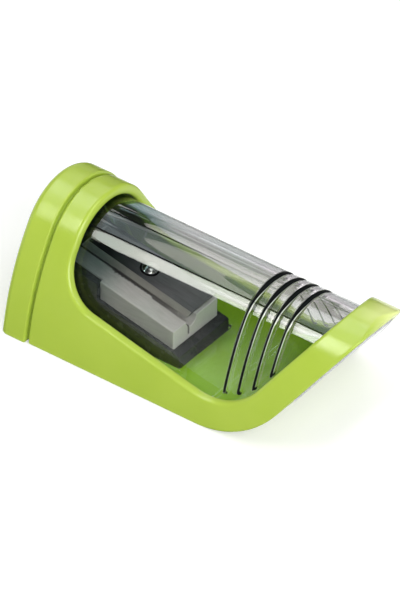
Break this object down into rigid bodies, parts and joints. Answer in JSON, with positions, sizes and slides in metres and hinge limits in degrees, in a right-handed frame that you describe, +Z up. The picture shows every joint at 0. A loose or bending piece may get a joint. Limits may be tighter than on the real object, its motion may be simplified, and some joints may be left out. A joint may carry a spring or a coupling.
{
  "type": "pencil sharpener",
  "caption": "Wedge pencil sharpener held in the cap of a clear shavings drawer that slides out of an arched green plastic case with a raked end.",
  "frame": {"origin": "centre of the base, on the surface that the sharpener stands on", "axes": "+X along the case from the cap to the raked end, +Y to the far side, +Z up"},
  "size_m": [0.0728, 0.0358, 0.0264],
  "materials": {
    "green_shell": "smooth moulded, satin gloss",
    "clear_cover": "clear glossy moulding, faintly smoky",
    "black_moulding": "smooth black moulding",
    "cast_metal": "satin, finely milled",
    "blade_steel": "dark hardened steel with a ground bevel",
    "plated_screw": "bright plated"
  },
  "bodies": {
    "case": {"case": "green_shell"},
    "drawer": {"drawer": "clear_cover"},
    "insert": {"end_cap": "green_shell", "holder": "black_moulding", "sharpener_block": "cast_metal", "blade": "blade_steel", "blade_screw": "plated_screw"}
  },
  "joints": [
    {"name": "drawer_slide", "type": "slide", "parent": "case", "child": "drawer", "axis": [-1, 0, 0], "range_m": [0, 0.06]},
    {"name": "cap_pull", "type": "slide", "parent": "drawer", "child": "insert", "axis": [-1, 0, 0], "range_m": [0, 0.03]}
  ]
}
